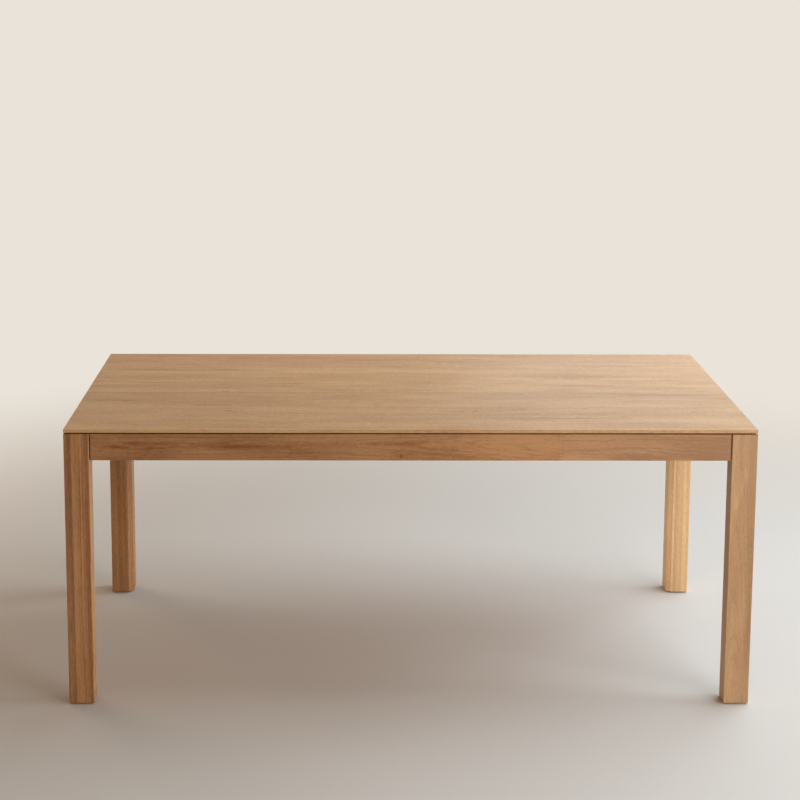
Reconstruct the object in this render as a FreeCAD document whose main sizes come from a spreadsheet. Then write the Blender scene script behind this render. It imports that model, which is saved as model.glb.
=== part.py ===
import FreeCAD, Part
import math
import os
from types import SimpleNamespace

import Sketcher

# Dining table: a glued-up solid wood top on a frame of four corner legs and four aprons.
# Frame of reference: +Z up, X along the length, the front faces -Y, and the origin lies on the
# floor under the middle of the table. Lengths are millimetres.

Vector = FreeCAD.Vector
ROOT_2 = math.sqrt(2)
ROOT_3 = math.sqrt(3)

DIMENSIONS = {
    # overall
    "table_length": 1800.0,
    "table_depth": 900.0,
    "table_height": 750.0,
    # tabletop
    "edge_height": 8.5,  # upright face round the top
    "shadow_gap": 4.0,  # open height of the slit between that edge and the legs
    "bevel_width": 14.0,  # how far in from the edge the underside's bevel ends
    "top_easing": 1.0,  # rounding of the upper edges
    "board_1_width": 81.0,  # boards are numbered from the front; the tenth takes the rest
    "board_2_width": 97.0,
    "board_3_width": 61.0,
    "board_4_width": 76.0,
    "board_5_width": 91.0,
    "board_6_width": 92.0,
    "board_7_width": 57.0,
    "board_8_width": 89.0,
    "board_9_width": 105.0,
    # legs
    "leg_width": 66.0,
    "outer_stave": 20.0,  # thickness of the stave at the table's end
    "inner_stave": 20.0,  # thickness of the stave that faces the knees
    "corner_flat": 14.0,  # how far the inner corner is planed back for the bolts
    "leg_easing": 1.5,
    "foot_chamfer": 2.0,
    # aprons
    "apron_thickness": 22.0,
    "apron_height": 70.0,
    "apron_setback": 1.0,  # from the legs' outer faces
    "rebate_width": 3.5,  # upright rebate at each end of an apron's outer face
    "rebate_depth": 6.0,
    "apron_arris": 1.0,  # bevel of the lower edges
    "splice_offset": 390.0,  # from the middle of a long apron to its finger joint
    "finger_length": 10.0,
    "finger_tip": 1.0,  # height of a finger's blunt end
    "finger_count": 10,
    # clips that hold the top down
    "groove_drop": 10.0,  # from the apron's upper edge to the groove
    "groove_height": 3.0,
    "groove_depth": 8.0,
    "clip_gauge": 2.0,
    "clip_width": 20.0,
    "clip_tongue": 7.0,  # length inside the groove
    "clip_standoff": 1.0,  # between the apron and the clip's upright part
    "clip_foot": 25.0,  # length against the underside of the top
    "clip_screw_reach": 16.0,  # from the apron's inner face to the screw
    "clip_bend": 1.0,  # inside radius of the clip's bends
    "outer_clip_setin": 225.0,  # from the end of the table to the nearer clips
    "side_clip_offset": 150.0,  # of an end apron's clips from its middle
    # cross rails
    "rail_thickness": 22.0,
    "rail_height": 45.0,
    "rail_spacing": 450.0,
    "tenon_thickness": 12.0,
    "tenon_height": 30.0,
    "tenon_length": 10.0,
    "mortise_spare": 1.0,  # depth of the mortise beyond the tenon
    "rail_screw_offset": 240.0,  # of the outer screws from the middle of a rail
    "slot_length": 9.0,
    "slot_width": 5.0,
    "counterbore_length": 16.0,
    "counterbore_width": 12.0,
    "counterbore_depth": 20.0,
    # corner brackets
    "bracket_gauge": 3.0,
    "bracket_height": 56.0,
    "bracket_standoff": 8.0,  # between the leg's flat and the plate
    "flange_length": 28.0,
    "flange_hole_offset": 16.0,  # from the bend to the screws
    "bracket_bend": 2.0,  # inside radius of the bends
    "fastener_spacing": 30.0,  # between the upper and lower row of bolts and screws
    # hanger bolts, washers and nuts, M8
    "bolt_radius": 4.0,
    "bolt_bite": 45.0,  # length in the leg
    "bolt_stem": 25.0,  # length outside the leg
    "bolt_point": 5.0,
    "bolt_end_chamfer": 1.0,
    "bolt_hole_clearance": 0.5,
    "washer_radius": 8.0,
    "washer_gauge": 1.6,
    "washer_clearance": 0.2,
    "nut_flats": 13.0,
    "nut_height": 6.5,
    # wood screws
    "screw_radius": 2.0,
    "screw_head_radius": 4.0,
    "screw_head_height": 2.4,
    "screw_crown": 0.7,  # flat of a screw's head, as a share of its radius
    "screw_hole_clearance": 0.25,
    "bracket_screw_length": 16.0,
    "rail_screw_radius": 2.25,
    "rail_screw_head_radius": 4.5,
    "rail_screw_head_height": 2.8,
    "top_bite": 9.0,  # how deep the screws go into the top
    "screw_point": 3.0,
    "pilot_clearance": 0.05,  # radial, round every screw, bolt and nail in the wood
    "pilot_spare": 0.5,  # depth of a pilot hole beyond its screw
    # glides
    "glide_radius": 15.0,
    "glide_thickness": 3.0,
    "glide_easing": 1.0,
    "glide_recess_radius": 4.0,
    "glide_recess_depth": 1.5,
    "nail_radius": 1.25,
    "nail_head_radius": 3.5,
    "nail_head_height": 1.0,
    "nail_length": 18.0,
    "nail_point": 3.0,
}
BOARD_COUNT = 10

# Corner of the table: sign of x, sign of y, and the turn that points a leg's own x and y inwards.
CORNERS = {
    "front_left": (-1, -1, 0),
    "front_right": (1, -1, 90),
    "back_right": (1, 1, 180),
    "back_left": (-1, 1, 270),
}
# Which way each plane's normal points along the third axis.
PLANE_NORMAL = {"XY_Plane": 1, "XZ_Plane": -1, "YZ_Plane": 1}
# Lengths and volumes that differ by less than these are the same.
SAME_LENGTH = 1e-4
SAME_VOLUME = 1e-3


class Size:
    """A dimension: its formula drives the model, and its value finds edges and places copies."""

    def __init__(self, formula, value):
        self.formula = formula
        self.value = value

    def __add__(self, other):
        other = as_size(other)
        return Size("(%s + %s)" % (self.formula, other.formula), self.value + other.value)

    def __sub__(self, other):
        other = as_size(other)
        return Size("(%s - %s)" % (self.formula, other.formula), self.value - other.value)

    def __mul__(self, other):
        other = as_size(other)
        return Size("(%s * %s)" % (self.formula, other.formula), self.value * other.value)

    def __truediv__(self, other):
        other = as_size(other)
        return Size("(%s / %s)" % (self.formula, other.formula), self.value / other.value)

    def __neg__(self):
        return Size("(0 - %s)" % self.formula, -self.value)


def as_size(amount):
    if isinstance(amount, Size):
        return amount
    return Size("(%.12f)" % amount, float(amount))


doc = FreeCAD.newDocument("dining_table")
nodes = []


def fill_sheet():
    """Put every dimension on the sheet under its own name, and hand back their Sizes."""
    sheet = doc.addObject("Spreadsheet::Sheet", "Sizes")
    for row, (name, number) in enumerate(DIMENSIONS.items(), start=1):
        sheet.set("A%d" % row, name)
        sheet.set("B%d" % row, str(number))
        sheet.setAlias("B%d" % row, name)
    doc.recompute()
    return SimpleNamespace(**{name: Size("Sizes." + name, float(n)) for name, n in DIMENSIONS.items()})


size = fill_sheet()

half_length = size.table_length / 2
half_depth = size.table_depth / 2
board_thickness = size.edge_height + size.shadow_gap
frame_top = size.table_height - board_thickness
leg_length = frame_top - size.glide_thickness
apron_bottom = frame_top - size.apron_height
apron_inner = size.apron_setback + size.apron_thickness
long_apron_half = half_length - size.leg_width
end_apron_half = half_depth - size.leg_width
leg_middle = size.leg_width / 2
# Corner sizes are measured in a corner's own frame, from the leg's outer edge inwards.
flat_sum = size.leg_width * 2 - size.corner_flat
plate_sum = flat_sum + size.bracket_standoff * ROOT_2
plate_back_sum = plate_sum + size.bracket_gauge * ROOT_2
flange_start = plate_sum - apron_inner
flange_hole = flange_start + size.flange_hole_offset
bracket_middle = apron_bottom + size.apron_height / 2
lower_row = bracket_middle - size.fastener_spacing / 2
rail_positions = (-size.rail_spacing, size.rail_spacing * 0, size.rail_spacing)
rail_screw_places = (-size.rail_screw_offset, size.rail_screw_offset * 0, size.rail_screw_offset)
long_clips = (size.outer_clip_setin - half_length, -size.rail_spacing / 2,
              size.rail_spacing / 2, half_length - size.outer_clip_setin)
end_clips = (-size.side_clip_offset, size.side_clip_offset)


# ---- sketches and features ----

def origin_feature(body, role):
    return next(item for item in body.Origin.OriginFeatures if item.Role == role)


def new_body(label, place=(0, 0, 0), turn=0):
    """A body whose own frame is turned about Z and moved to a place given in Sizes."""
    body = doc.addObject("PartDesign::Body", label)
    body.Placement = FreeCAD.Placement(Vector(), FreeCAD.Rotation(Vector(0, 0, 1), turn))
    for axis, amount in zip("xyz", place):
        body.setExpression("Placement.Base." + axis, as_size(amount).formula)
    return body


def new_sketch(body, name, plane, position=0):
    """A sketch on one of the body's own planes, moved to a position along that plane's axis."""
    sketch = body.newObject("Sketcher::SketchObject", name)
    sketch.AttachmentSupport = [(origin_feature(body, plane), "")]
    sketch.MapMode = "FlatFace"
    offset = as_size(position) * PLANE_NORMAL[plane]
    sketch.setExpression("AttachmentOffset.Base.z", offset.formula)
    return sketch


def bind(sketch, index, name, amount):
    sketch.renameConstraint(index, name)
    sketch.setExpression(".Constraints." + name, amount.formula)


def pin(sketch, geometry, point, place):
    """Hold one point of a sketch at a place measured from the sketch's origin."""
    for kind, distance in zip(("DistanceX", "DistanceY"), place):
        amount = as_size(distance)
        index = sketch.addConstraint(Sketcher.Constraint(kind, -1, 1, geometry, point, amount.value))
        bind(sketch, index, "%s_%d" % (kind, index), amount)


def flat_point(place):
    return Vector(as_size(place[0]).value, as_size(place[1]).value, 0)


def add_polygon(sketch, corners):
    first = sketch.GeometryCount
    points = [flat_point(corner) for corner in corners]
    for start, end in zip(points, points[1:] + points[:1]):
        sketch.addGeometry(Part.LineSegment(start, end), False)
    for step, corner in enumerate(corners):
        following = first + (step + 1) % len(corners)
        sketch.addConstraint(Sketcher.Constraint("Coincident", first + step, 2, following, 1))
        pin(sketch, first + step, 1, corner)


def add_rectangle(sketch, low, high):
    add_polygon(sketch, [low, (high[0], low[1]), high, (low[0], high[1])])


def add_circle(sketch, centre, radius):
    circle = Part.Circle(flat_point(centre), Vector(0, 0, 1), radius.value)
    index = sketch.addGeometry(circle, False)
    pin(sketch, index, 3, centre)
    constraint = sketch.addConstraint(Sketcher.Constraint("Radius", index, radius.value))
    bind(sketch, constraint, "radius_%d" % constraint, radius)


def add_slot(sketch, centre, length, width):
    """A slot that runs along the sketch's vertical axis, with half-round ends."""
    radius = width / 2
    reach = (length - width) / 2
    low = (centre[0], centre[1] - reach)
    high = (centre[0], centre[1] + reach)
    low_arc, right_side, high_arc, left_side = range(sketch.GeometryCount, sketch.GeometryCount + 4)
    axis = Vector(0, 0, 1)
    side = Vector(radius.value, 0, 0)
    low_circle = Part.Circle(flat_point(low), axis, radius.value)
    high_circle = Part.Circle(flat_point(high), axis, radius.value)
    sketch.addGeometry(Part.ArcOfCircle(low_circle, math.pi, 2 * math.pi), False)
    sketch.addGeometry(Part.LineSegment(flat_point(low) + side, flat_point(high) + side), False)
    sketch.addGeometry(Part.ArcOfCircle(high_circle, 0, math.pi), False)
    sketch.addGeometry(Part.LineSegment(flat_point(high) - side, flat_point(low) - side), False)
    for one, other in ((low_arc, right_side), (right_side, high_arc),
                       (high_arc, left_side), (left_side, low_arc)):
        sketch.addConstraint(Sketcher.Constraint("Tangent", one, 2, other, 1))
    sketch.addConstraint(Sketcher.Constraint("Equal", low_arc, high_arc))
    pin(sketch, low_arc, 3, low)
    pin(sketch, high_arc, 3, high)
    constraint = sketch.addConstraint(Sketcher.Constraint("Radius", low_arc, radius.value))
    bind(sketch, constraint, "radius_%d" % constraint, radius)


def plane_of(sketch):
    return sketch.AttachmentSupport[0][0].Role


def pad(body, sketch, length):
    """Grow the sketch towards the positive side of its plane's axis."""
    feature = body.newObject("PartDesign::Pad", sketch.Name + "_pad")
    feature.Profile = sketch
    feature.Reversed = PLANE_NORMAL[plane_of(sketch)] < 0
    feature.setExpression("Length", length.formula)
    return feature


def pocket(body, sketch, depth=None):
    """Cut the sketch towards the positive side of its plane's axis, or right through both ways."""
    feature = body.newObject("PartDesign::Pocket", sketch.Name + "_pocket")
    feature.Profile = sketch
    if depth is None:
        feature.Type = "ThroughAll"
        feature.SideType = "Symmetric"
    else:
        feature.Reversed = PLANE_NORMAL[plane_of(sketch)] > 0
        feature.setExpression("Length", depth.formula)
    return feature


def drill(body, name, start, direction, radius, depth):
    """Bore a round hole from a start point along a direction."""
    tool = body.newObject("PartDesign::SubtractiveCylinder", name)
    turn = FreeCAD.Rotation(Vector(0, 0, 1), Vector(*direction))
    tool.Placement = FreeCAD.Placement(Vector(), turn)
    for axis, amount in zip("xyz", start):
        tool.setExpression("Placement.Base." + axis, as_size(amount).formula)
    tool.setExpression("Radius", radius.formula)
    tool.setExpression("Height", depth.formula)
    return tool


def repeat_upwards(body, feature, count, span):
    pattern = body.newObject("PartDesign::LinearPattern", feature.Name + "_row")
    pattern.Originals = [feature]
    pattern.Direction = (origin_feature(body, "Z_Axis"), [""])
    pattern.setExpression("Length", span.formula)
    pattern.Occurrences = count
    body.Tip = pattern
    return pattern


def near(one, other):
    return abs(as_size(one).value - as_size(other).value) < SAME_LENGTH


def chosen_edges(feature, chooses):
    """Names of the edges that are chosen by the box they fill."""
    return ["Edge%d" % number for number, edge in enumerate(feature.Shape.Edges, start=1)
            if chooses(edge.BoundBox)]


def round_edges(body, name, base, chooses, radius):
    doc.recompute()
    feature = body.newObject("PartDesign::Fillet", name)
    feature.Base = (base, chosen_edges(base, chooses))
    feature.setExpression("Radius", radius.formula)
    return feature


def bevel_edges(body, name, base, chooses, setback):
    doc.recompute()
    feature = body.newObject("PartDesign::Chamfer", name)
    feature.Base = (base, chosen_edges(base, chooses))
    feature.setExpression("Size", setback.formula)
    return feature


def turned_body(label, outline):
    """A body turned about Z from an outline of radius and height pairs."""
    body = new_body(label)
    sketch = new_sketch(body, label + "_outline", "XZ_Plane")
    add_polygon(sketch, outline)
    feature = body.newObject("PartDesign::Revolution", label + "_turning")
    feature.Profile = sketch
    feature.ReferenceAxis = (sketch, ["V_Axis"])
    feature.Angle = 360
    return body


def placed_copies(label, blank, places):
    """One node that holds a separate copy of the blank at each place."""
    doc.recompute()
    copies = []
    for place in places:
        copy = blank.Shape.copy()
        copy.Placement = place.multiply(copy.Placement)
        copies.append(copy)
    group = doc.addObject("Part::Feature", label)
    group.Shape = Part.makeCompound(copies)
    nodes.append(group)


# ---- places that repeat ----

def corner_place(corner, height=0):
    """Where a corner's own frame lies: at the leg's outer edge, x and y pointing inwards."""
    sign_x, sign_y, _ = CORNERS[corner]
    return (half_length * sign_x, half_depth * sign_y, height)


def corner_placement(corner):
    turn = FreeCAD.Rotation(Vector(0, 0, 1), CORNERS[corner][2])
    return FreeCAD.Placement(Vector(*[as_size(amount).value for amount in corner_place(corner)]), turn)


def on_diagonal(distance, height):
    """A place in a corner's frame, a distance along the diagonal, with z turned to point inwards."""
    along = distance.value / ROOT_2
    turn = FreeCAD.Rotation(Vector(0, 0, 1), Vector(1, 1, 0))
    return FreeCAD.Placement(Vector(along, along, height.value), turn)


def fastener_rows(base=0):
    """Heights of the two rows of bolts and screws above a base."""
    lower = lower_row - base
    return (lower, lower + size.fastener_spacing)


def bolt_places(distance):
    return [corner_placement(corner).multiply(on_diagonal(distance, row))
            for corner in CORNERS for row in fastener_rows()]


def apron_sides():
    """Each apron's inner face: its distance from the middle, the clips along it, and its turn."""
    long_face = half_depth - apron_inner
    end_face = half_length - apron_inner
    return ((long_face, long_clips, 0), (long_face, long_clips, 180),
            (end_face, end_clips, 90), (end_face, end_clips, 270))


def clip_places(reach):
    """Every clip's place on the underside of the top, a reach in from its apron's inner face."""
    places = []
    for face, clips, turn in apron_sides():
        for along in clips:
            spot = Vector(along.value, as_size(reach).value - face.value, frame_top.value)
            rotation = FreeCAD.Rotation(Vector(0, 0, 1), turn)
            places.append(FreeCAD.Placement(rotation.multVec(spot), rotation))
    return places


def top_screw_centres():
    """Where screws enter the underside of the top, as pairs of Sizes."""
    long_row = half_depth - apron_inner - size.clip_screw_reach
    end_row = half_length - apron_inner - size.clip_screw_reach
    centres = [(x, y, size.screw_radius) for y in (-long_row, long_row) for x in long_clips]
    centres += [(x, y, size.screw_radius) for y in end_clips for x in (-end_row, end_row)]
    centres += [(x, y, size.rail_screw_radius) for y in rail_screw_places for x in rail_positions]
    return centres


# ---- tabletop ----

def make_board(number, front, width):
    """One full-length board of the top; the first and last also carry the long bevels."""
    is_first = number == 1
    is_last = number == BOARD_COUNT
    body = new_body("top_board_%02d" % number, (0, front, frame_top))
    nodes.append(body)
    profile = new_sketch(body, "board_profile", "XZ_Plane")
    seat = half_length - size.bevel_width
    lip = size.shadow_gap
    add_polygon(profile, [(-seat, 0), (seat, 0), (half_length, lip), (half_length, board_thickness),
                          (-half_length, board_thickness), (-half_length, lip)])
    solid = pad(body, profile, width)

    outer_edge = width if is_last else width * 0
    if is_first or is_last:
        bevel = new_sketch(body, "long_bevel", "YZ_Plane")
        inner_edge = width - size.bevel_width if is_last else size.bevel_width
        add_polygon(bevel, [(outer_edge, 0), (inner_edge, 0), (outer_edge, size.shadow_gap)])
        solid = pocket(body, bevel)

    centres = [(x, y - front, radius + size.pilot_clearance) for x, y, radius in top_screw_centres()]
    centres = [(x, y, radius) for x, y, radius in centres
               if -radius.value < y.value < width.value + radius.value]
    if centres:
        bores = new_sketch(body, "screw_bores", "XY_Plane")
        for x, y, radius in centres:
            add_circle(bores, (x, y), radius)
        solid = pocket(body, bores, size.top_bite + size.pilot_spare)

    def rim(box):
        at_top = near(box.ZMin, board_thickness)
        at_end = near(box.XMin, box.XMax) and near(abs(box.XMin), half_length)
        at_side = (is_first or is_last) and near(box.YMin, outer_edge) and near(box.YMax, outer_edge)
        return (at_top and (at_end or at_side)) or (at_end and at_side)

    round_edges(body, "eased_rim", solid, rim, size.top_easing)


def make_top():
    front = -half_depth
    for number in range(1, BOARD_COUNT):
        width = Size("Sizes.board_%d_width" % number, DIMENSIONS["board_%d_width" % number])
        make_board(number, front, width)
        front = front + width
    make_board(BOARD_COUNT, front, half_depth - front)


# ---- legs ----

def stave_outline(start, end):
    """Section of a stave from start to end across the leg; the inner one has the corner flat."""
    front = start * 0
    if end is not size.leg_width:
        return [(start, front), (end, front), (end, size.leg_width), (start, size.leg_width)]
    flat = size.leg_width - size.corner_flat
    return [(start, front), (end, front), (end, flat), (flat, end), (start, end)]


def stave_arrises(name):
    """Where a stave has outer corners to be eased, across and along the leg."""
    wide = size.leg_width
    flat = size.leg_width - size.corner_flat
    return {"outer": [(0, 0), (0, wide)], "core": [], "inner": [(wide, 0), (wide, flat), (flat, wide)]}[name]


def make_stave(corner, name, start, end):
    """One full-length stave of a leg, in the corner's frame with its foot at the glide."""
    turn = CORNERS[corner][2]
    # Staves lie side by side along the table's length, which is a corner's own y on two corners.
    stacks_on_y = turn % 180 != 0
    body = new_body("%s_leg_%s_stave" % (corner, name), corner_place(corner, size.glide_thickness), turn)
    nodes.append(body)
    outline = stave_outline(start, end)
    if stacks_on_y:
        outline = [(y, x) for x, y in outline]
    section = new_sketch(body, "stave_section", "XY_Plane")
    add_polygon(section, outline)
    stave = pad(body, section, leg_length)

    def spans(box):
        span_x = (box.XMin, box.XMax)
        span_y = (box.YMin, box.YMax)
        return (span_y, span_x) if stacks_on_y else (span_x, span_y)

    def foot_rim(box):
        across, _ = spans(box)
        on_glue_line = any(near(across[0], face) and near(across[1], face) for face in glue_faces)
        return near(box.ZMax, 0) and not on_glue_line

    def arris(box):
        across, along = spans(box)
        upright = near(*across) and near(*along)
        return upright and any(near(across[0], one) and near(along[0], other)
                               for one, other in stave_arrises(name))

    glue_faces = {"outer": [end], "core": [start, end], "inner": [start]}[name]
    foot = bevel_edges(body, "foot_bevel", stave, foot_rim, size.foot_chamfer)
    if name != "core":
        round_edges(body, "eased_arrises", foot, arris, size.leg_easing)

    tip = (flat_sum / ROOT_2 - size.bolt_bite - size.pilot_spare) / ROOT_2
    if tip.value < end.value:
        for row in fastener_rows(size.glide_thickness):
            drill(body, "bolt_bore", (tip, tip, row), (1, 1, 0),
                  size.bolt_radius + size.pilot_clearance, size.bolt_bite + size.bolt_stem)
    if start.value < leg_middle.value < end.value:
        nail_depth = size.nail_length - size.glide_thickness + size.glide_recess_depth + size.pilot_spare
        drill(body, "nail_bore", (leg_middle, leg_middle, 0), (0, 0, 1),
              size.nail_radius + size.pilot_clearance, nail_depth)


def make_legs():
    core_start = size.outer_stave
    core_end = size.leg_width - size.inner_stave
    for corner in CORNERS:
        make_stave(corner, "outer", size.leg_width * 0, core_start)
        make_stave(corner, "core", core_start, core_end)
        make_stave(corner, "inner", core_end, size.leg_width)


# ---- aprons ----

def apron_plan(start, end, rebate_start, rebate_end):
    """Plan of an apron board, with the outer face at y = 0 and a rebate where it meets a leg."""
    front = 0
    plan = [(start, front)]
    if rebate_start:
        inner = start + size.rebate_width
        plan = [(start, size.rebate_depth), (inner, size.rebate_depth), (inner, front)]
    if rebate_end:
        inner = end - size.rebate_width
        plan += [(inner, front), (inner, size.rebate_depth), (end, size.rebate_depth)]
    else:
        plan += [(end, front)]
    return plan + [(end, size.apron_thickness), (start, size.apron_thickness)]


def finger_outline(root):
    """The lowest finger of the splice, a blunt wedge that points along +X from its root."""
    pitch = size.apron_height / size.finger_count
    middle = pitch / 2
    base = (pitch - size.finger_tip) / 2
    blunt = size.finger_tip / 2
    end = root + size.finger_length
    return [(root, middle - base), (end, middle - blunt), (end, middle + blunt), (root, middle + base)]


def cut_apron_edges(body):
    """The clip groove along the inner face and the bevels along the lower edges."""
    section = new_sketch(body, "groove_and_bevels", "YZ_Plane")
    groove_top = size.apron_height - size.groove_drop
    inner = size.apron_thickness
    add_rectangle(section, (inner - size.groove_depth, groove_top - size.groove_height), (inner, groove_top))
    add_polygon(section, [(0, 0), (size.apron_arris, 0), (0, size.apron_arris)])
    add_polygon(section, [(inner - size.apron_arris, 0), (inner, 0), (inner, size.apron_arris)])
    return pocket(body, section)


def cut_mortises(body, start, end):
    half = size.tenon_thickness / 2
    centres = [x for x in rail_positions if start.value < x.value + half.value
               and x.value - half.value < end.value]
    if not centres:
        return
    depth = size.tenon_length + size.mortise_spare
    low = size.apron_height - (size.rail_height + size.tenon_height) / 2
    sketch = new_sketch(body, "mortises", "XZ_Plane", size.apron_thickness - depth)
    for x in centres:
        add_rectangle(sketch, (x - half, low), (x + half, low + size.tenon_height))
    pocket(body, sketch, depth)


def bore_bracket_screws(body, start, end, table_half):
    """Pilot holes for the bracket's screws, in the ends of the apron that this board has."""
    depth = size.bracket_screw_length - size.bracket_gauge + size.pilot_spare
    spots = [x for x in (flange_hole - table_half, table_half - flange_hole)
             if start.value < x.value < end.value]
    sketch = new_sketch(body, "bracket_screw_bores", "XZ_Plane", size.apron_thickness - depth)
    for x in spots:
        for row in fastener_rows(apron_bottom):
            add_circle(sketch, (x, row), size.screw_radius + size.pilot_clearance)
    pocket(body, sketch, depth)


def long_apron_boards(name, place, turn):
    """A long apron: a long and a short board, finger-jointed end to end."""
    root = size.splice_offset - size.finger_length / 2
    tips = root + size.finger_length
    pitch = size.apron_height / size.finger_count
    count = int(DIMENSIONS["finger_count"])

    long_board = new_body(name + "_long_board", place, turn)
    plan = new_sketch(long_board, "board_plan", "XY_Plane")
    add_polygon(plan, apron_plan(-long_apron_half, root, True, False))
    pad(long_board, plan, size.apron_height)
    finger = new_sketch(long_board, "finger", "XZ_Plane")
    add_polygon(finger, finger_outline(root))
    fingers = pad(long_board, finger, size.apron_thickness)
    repeat_upwards(long_board, fingers, count, size.apron_height - pitch)
    finish_apron(long_board, -long_apron_half, tips, half_length, True)

    short_board = new_body(name + "_short_board", place, turn)
    plan = new_sketch(short_board, "board_plan", "XY_Plane")
    add_polygon(plan, apron_plan(root, long_apron_half, False, True))
    pad(short_board, plan, size.apron_height)
    finger = new_sketch(short_board, "finger_socket", "XZ_Plane")
    add_polygon(finger, finger_outline(root))
    sockets = pocket(short_board, finger, size.apron_thickness)
    repeat_upwards(short_board, sockets, count, size.apron_height - pitch)
    finish_apron(short_board, root, long_apron_half, half_length, True)


def finish_apron(body, start, end, table_half, has_mortises):
    nodes.append(body)
    cut_apron_edges(body)
    if has_mortises:
        cut_mortises(body, start, end)
    bore_bracket_screws(body, start, end, table_half)


def end_apron_board(name, place, turn):
    body = new_body(name, place, turn)
    plan = new_sketch(body, "board_plan", "XY_Plane")
    add_polygon(plan, apron_plan(-end_apron_half, end_apron_half, True, True))
    pad(body, plan, size.apron_height)
    finish_apron(body, -end_apron_half, end_apron_half, half_depth, False)


def make_aprons():
    long_face = half_depth - size.apron_setback
    end_face = half_length - size.apron_setback
    long_apron_boards("front_apron", (0, -long_face, apron_bottom), 0)
    long_apron_boards("back_apron", (0, long_face, apron_bottom), 180)
    end_apron_board("left_apron", (-end_face, 0, apron_bottom), -90)
    end_apron_board("right_apron", (end_face, 0, apron_bottom), 90)


# ---- cross rails ----

def make_rail(label, x):
    """A rail between the long aprons, with a stub tenon at each end and slots for the top's screws."""
    body = new_body(label, (x, 0, frame_top - size.rail_height))
    nodes.append(body)
    half_span = half_depth - apron_inner
    half = size.rail_thickness / 2
    plan = new_sketch(body, "rail_plan", "XY_Plane")
    add_rectangle(plan, (-half, -half_span), (half, half_span))
    pad(body, plan, size.rail_height)

    tenon_half = size.tenon_thickness / 2
    tenon_reach = half_span + size.tenon_length
    tenons = new_sketch(body, "tenons", "XY_Plane", (size.rail_height - size.tenon_height) / 2)
    add_rectangle(tenons, (-tenon_half, -tenon_reach), (tenon_half, tenon_reach))
    pad(body, tenons, size.tenon_height)

    counterbores = new_sketch(body, "counterbores", "XY_Plane")
    slots = new_sketch(body, "screw_slots", "XY_Plane", size.counterbore_depth)
    for y in rail_screw_places:
        add_slot(counterbores, (x * 0, y), size.counterbore_length, size.counterbore_width)
        add_slot(slots, (x * 0, y), size.slot_length, size.slot_width)
    pocket(body, counterbores, size.counterbore_depth)
    pocket(body, slots, size.rail_height - size.counterbore_depth)


def make_rails():
    for name, x in zip(("left", "middle", "right"), rail_positions):
        make_rail(name + "_cross_rail", x)


# ---- corner brackets ----

def make_bracket(corner):
    """A bent steel plate across the corner, flanged along the two aprons."""
    bottom = bracket_middle - size.bracket_height / 2
    body = new_body(corner + "_corner_bracket", corner_place(corner, bottom), CORNERS[corner][2])
    nodes.append(body)
    face = apron_inner
    back = face + size.bracket_gauge
    flange_end = flange_start + size.flange_length
    outer_bend = flange_start
    inner_bend = plate_back_sum - back
    outline = new_sketch(body, "bracket_outline", "XY_Plane")
    add_polygon(outline, [(flange_end, face), (outer_bend, face), (face, outer_bend), (face, flange_end),
                          (back, flange_end), (back, inner_bend), (inner_bend, back), (flange_end, back)])
    plate = pad(body, outline, size.bracket_height)

    def upright_at(box, one, other):
        upright = near(box.XMin, box.XMax) and near(box.YMin, box.YMax)
        on_this_side = near(box.XMin, one) and near(box.YMin, other)
        on_that_side = near(box.XMin, other) and near(box.YMin, one)
        return upright and (on_this_side or on_that_side)

    bends = round_edges(body, "inside_bends", plate,
                        lambda box: upright_at(box, inner_bend, back), size.bracket_bend)
    round_edges(body, "outside_bends", bends,
                lambda box: upright_at(box, outer_bend, face), size.bracket_bend + size.bracket_gauge)

    start = flat_sum / 2
    through = size.bracket_standoff + size.bracket_gauge * 2
    bolt_hole = size.bolt_radius + size.bolt_hole_clearance
    screw_hole = size.screw_radius + size.screw_hole_clearance
    for row in fastener_rows(bottom):
        drill(body, "bolt_hole", (start, start, row), (1, 1, 0), bolt_hole, through)
        drill(body, "front_screw_hole", (flange_hole, face, row), (0, 1, 0), screw_hole, size.bracket_gauge)
        drill(body, "side_screw_hole", (face, flange_hole, row), (1, 0, 0), screw_hole, size.bracket_gauge)


def make_corner_hardware():
    for corner in CORNERS:
        make_bracket(corner)
    flat_distance = flat_sum / ROOT_2
    plate_distance = flat_distance + size.bracket_standoff + size.bracket_gauge
    placed_copies("hanger_bolts", bolt_blank(), bolt_places(flat_distance))
    placed_copies("bolt_washers", washer_blank(), bolt_places(plate_distance))
    placed_copies("bolt_nuts", nut_blank(), bolt_places(plate_distance + size.washer_gauge))

    screws = []
    back = apron_inner + size.bracket_gauge
    for corner in CORNERS:
        for row in fastener_rows():
            for spot, into in ((Vector(flange_hole.value, back.value, row.value), Vector(0, -1, 0)),
                               (Vector(back.value, flange_hole.value, row.value), Vector(-1, 0, 0))):
                place = FreeCAD.Placement(spot, FreeCAD.Rotation(Vector(0, 0, 1), into))
                screws.append(corner_placement(corner).multiply(place))
    blank = screw_blank("bracket_screw_blank", size.screw_radius, size.screw_head_radius,
                        size.screw_head_height, size.bracket_screw_length)
    placed_copies("bracket_screws", blank, screws)


def bolt_blank():
    """A hanger bolt: pointed in the wood below z = 0, machine thread above it."""
    radius = size.bolt_radius
    stem = size.bolt_stem
    chamfer = size.bolt_end_chamfer
    return turned_body("hanger_bolt_blank", [
        (0, -size.bolt_bite), (radius, size.bolt_point - size.bolt_bite),
        (radius, stem - chamfer), (radius - chamfer, stem), (0, stem)])


def washer_blank():
    body = new_body("washer_blank")
    ring = new_sketch(body, "washer_ring", "XY_Plane")
    add_circle(ring, (0, 0), size.washer_radius)
    add_circle(ring, (0, 0), size.bolt_radius + size.washer_clearance)
    pad(body, ring, size.washer_gauge)
    return body


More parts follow.
